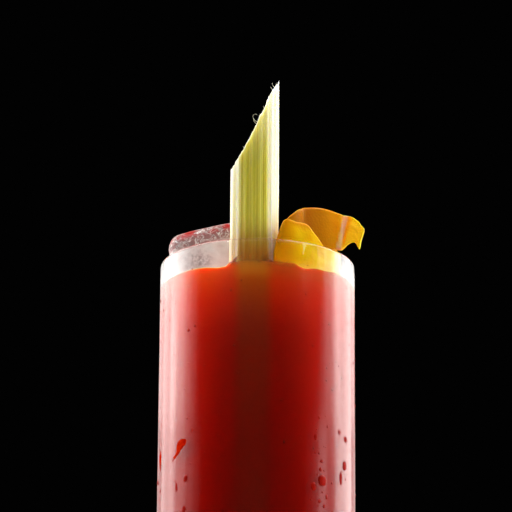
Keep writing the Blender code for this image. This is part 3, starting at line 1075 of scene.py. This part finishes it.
def make_pepper():
    chance = random.Random(PEPPER_SEED)
    places = list(PEPPER_SEEN)
    for _ in range(PEPPER_COUNT):
        places.append((chance.uniform(-180, 180), chance.uniform(*PEPPER_HEIGHTS)))
    start_fresh()
    bpy.ops.mesh.primitive_ico_sphere_add(subdivisions=1, radius=1.0)
    flakes = []
    for azimuth, height in places:
        width = chance.uniform(*PEPPER_WIDTHS) * MILLIMETRE
        tall = width * chance.uniform(*PEPPER_STRETCH)
        turn = chance.uniform(-0.8, 0.8)
        thick = PEPPER_THICKNESS * MILLIMETRE
        flakes.append(on_wall(azimuth, height * MILLIMETRE, width, tall, thick, turn, WALL - INTO_WALL))
    pepper = joined("pepper_specks", pepper_finish(), copies_of(bpy.context.object, flakes))
    roughen(pepper, PEPPER_WAVER, 1900)
    close_up(pepper, 20)
    dress(pepper, "tomato_drink")


def smear(rows, finish):
    """A thin film of juice on the wall: each row is its left and right edge, as azimuth and height."""
    rows = np.array(rows)
    film = unit_tube("smear", finish, SMEAR_SIDES, SMEAR_BANDS)

    def place(side, band):
        along = band / SMEAR_BANDS
        left, low, right, high = through(rows, along * (len(rows) - 1))
        angle = FULL_TURN * side / SMEAR_SIDES
        full = (1 - (2 * along - 1) ** 6) ** 0.5
        across = 0.5 + 0.5 * full * math.cos(angle)
        ragged = noise.noise(Vector((along * 9, math.cos(angle) * 2, left))) * math.cos(angle) ** 2
        azimuth = math.radians(left + (right - left) * across + 1.6 * ragged * full)
        height = (low + (high - low) * across + 0.25 * ragged) * MILLIMETRE
        radius = outer_radius(height) + SMEAR_THICKNESS * (full * math.sin(angle) - 0.15)
        return Vector((radius * math.sin(azimuth), -radius * math.cos(azimuth), height)), ()

    shape_tube(film, SMEAR_SIDES, SMEAR_BANDS, place)
    return film


def make_smears():
    finish = smear_finish()
    film = joined("juice_smears", None, [smear(rows, finish) for rows in SMEARS])
    close_up(film, 50)
    dress(film, "tomato_drink")


def thread(points, radius, finish):
    """A fine thread on a smooth curve through points in metres, thin at its far end."""
    points = [np.array(point) for point in points]
    fibre = unit_tube("thread", finish, THREAD_SIDES, THREAD_BANDS)

    def place(side, band):
        along = band / THREAD_BANDS
        angle = FULL_TURN * side / THREAD_SIDES
        middle = Vector(through(points, along * (len(points) - 1)))
        thick = radius * MILLIMETRE * min(1.0, 6 * (1 - along), 0.4 + 6 * along) * float(0 < along < 1)
        return middle + Vector((math.cos(angle), math.sin(angle), 0.3 * math.cos(angle))) * thick, ()

    shape_tube(fibre, THREAD_SIDES, THREAD_BANDS, place)
    return fibre


def join_threads(name, slot, threads):
    piece = joined(name, None, threads)
    close_up(piece)
    dress(piece, slot)


def make_strands():
    finish = thread_finish("Celery strands", (0.80, 0.78, 0.50), (0.95, 0.93, 0.80))
    threads = []
    for across, radius, bends in STRANDS:
        root = celery_point(across, 0.5, 0.0, celery_top(across, 0.5) - 0.0003)
        points = [root] + [root + Vector(bend) * MILLIMETRE for bend in bends]
        threads.append(thread(points, radius, finish))
    join_threads("celery_strands", "celery", threads)


def make_ice_ridges(ice):
    # The ridges are near-white: painted highlights along the crinkles.
    finish = thread_finish("Ice ridges", (0.90, 0.80, 0.79), (0.97, 0.95, 0.95))
    threads = []
    for ridge in ICE_RIDGES:
        points = []
        for x, z in ridge:
            start = (x * MILLIMETRE, -RIM_RADIUS, z * MILLIMETRE)
            hit, place, _, _ = ice.ray_cast(start, (0.0, 1.0, 0.0))
            if hit:
                points.append(place)
        threads.append(thread(points, ICE_RIDGE_RADIUS, finish))
    join_threads("ice_ridges", "ice", threads)


def make_camera():
    data = bpy.data.cameras.new("Camera")
    data.sensor_width = SENSOR
    data.lens = CAMERA_FOCUS_PIXELS * SENSOR / PHOTO_SIDE
    data.shift_x = CAMERA_SHIFT_PIXELS / PHOTO_SIDE
    camera = bpy.data.objects.new("Camera", data)
    camera.matrix_world = (
        Matrix.Translation(CAMERA_PLACE)
        @ Matrix.Rotation(math.pi / 2 + CAMERA_LOOKS_UP, 4, "X")
        @ Matrix.Rotation(CAMERA_ROLL, 4, "Z")
    )
    bpy.context.scene.collection.objects.link(camera)
    bpy.context.scene.camera = camera


def hang_lamp(name, kind, aim, away, distance):
    """A lamp that the camera doesn't see, facing a point from some way off. Gives its data."""
    data = bpy.data.lights.new(name, kind)
    lamp = bpy.data.objects.new(name, data)
    lamp.location = Vector(aim) + away * distance
    lamp.rotation_euler = (-away).to_track_quat("-Z", "Y").to_euler()
    lamp.visible_camera = False
    bpy.context.scene.collection.objects.link(lamp)
    return data


def make_panel(panel, width, height, radiance):
    panel.shape = "RECTANGLE"
    panel.size = width
    panel.size_y = height
    panel.energy = radiance * math.pi * width * height


def upright_panel(start, end, low, high, radiance):
    """A soft panel that stands beside the glass, between two azimuths and two heights."""
    name = "Panel %d %d" % (start, round(low * 100))
    middle = (0.0, 0.0, (low + high) / 2)
    panel = hang_lamp(name, "AREA", middle, direction((start + end) / 2), PANEL_DISTANCE)
    width = 2 * PANEL_DISTANCE * math.tan(math.radians(abs(end - start)) / 2)
    make_panel(panel, width, high - low, radiance)
    panel.color = PANEL_COLOUR


def lamp_above(name, azimuth, elevation, distance, size, radiance):
    """A soft panel above, facing the rim."""
    make_panel(hang_lamp(name, "AREA", LIGHTS_AIM, direction(azimuth, elevation), distance), *size, radiance)


def narrow_spot(name, azimuth, elevation, aim, cone, power):
    spot = hang_lamp(name, "SPOT", aim, direction(azimuth, elevation), SPOT_DISTANCE)
    spot.energy = power
    spot.spot_size = math.radians(cone)
    spot.spot_blend = SPOT_SOFT_EDGE
    spot.shadow_soft_size = SPOT_RADIUS


def make_studio():
    for values in PANELS:
        upright_panel(*values)
    for values in LAMPS_ABOVE:
        lamp_above(*values)
    for values in SPOTS:
        narrow_spot(*values)
    world = bpy.data.worlds.new("Studio")
    world.use_nodes = True
    world.node_tree.nodes["Background"].inputs["Color"].default_value = (*BACKDROP, 1.0)
    bpy.context.scene.world = world
    start_fresh()
    bpy.ops.mesh.primitive_plane_add(size=FLOOR_SIZE, location=(0, 0, -FLOOR_GAP))
    finish = Finish("Pale floor")
    colour = finish.mix(finish.noise(40.0), (0.60, 0.59, 0.57), (0.66, 0.65, 0.63))
    floor = name_piece("floor", finish.done(finish.shader(Base_Color=colour, Roughness=0.6)))
    bpy.context.scene.view_settings.view_transform = "Standard"


make_camera()
make_studio()
make_tumbler()
make_drink()
make_celery()
make_ice()
make_peel()
make_beads()
make_pepper()
make_smears()
make_strands()
